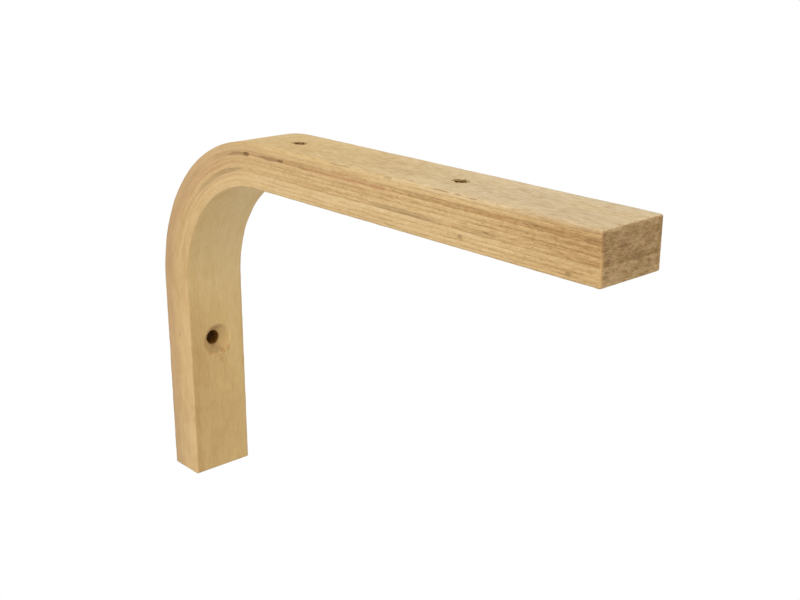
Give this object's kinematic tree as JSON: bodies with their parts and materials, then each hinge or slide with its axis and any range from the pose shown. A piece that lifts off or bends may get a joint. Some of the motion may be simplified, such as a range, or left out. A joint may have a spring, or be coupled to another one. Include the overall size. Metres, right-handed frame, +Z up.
{
  "type": "bentwood shelf bracket",
  "caption": "L-shaped shelf bracket bent from one strip of laminated birch, with a wall leg, a quarter-round bend, a straight shelf arm and countersunk screw holes.",
  "frame": {"origin": "where the axis of the wall screw hole meets the wall, on the leg's back face", "axes": "+Z up, +Y into the wall, +X across the strip; the arm points along -Y"},
  "size_m": [0.032, 0.27, 0.18],
  "materials": {
    "birch_laminate": "pale birch veneers with brown glue lines at the edges, sanded smooth, matt"
  },
  "bodies": {
    "root": {"bracket": "birch_laminate"}
  },
  "joints": []
}
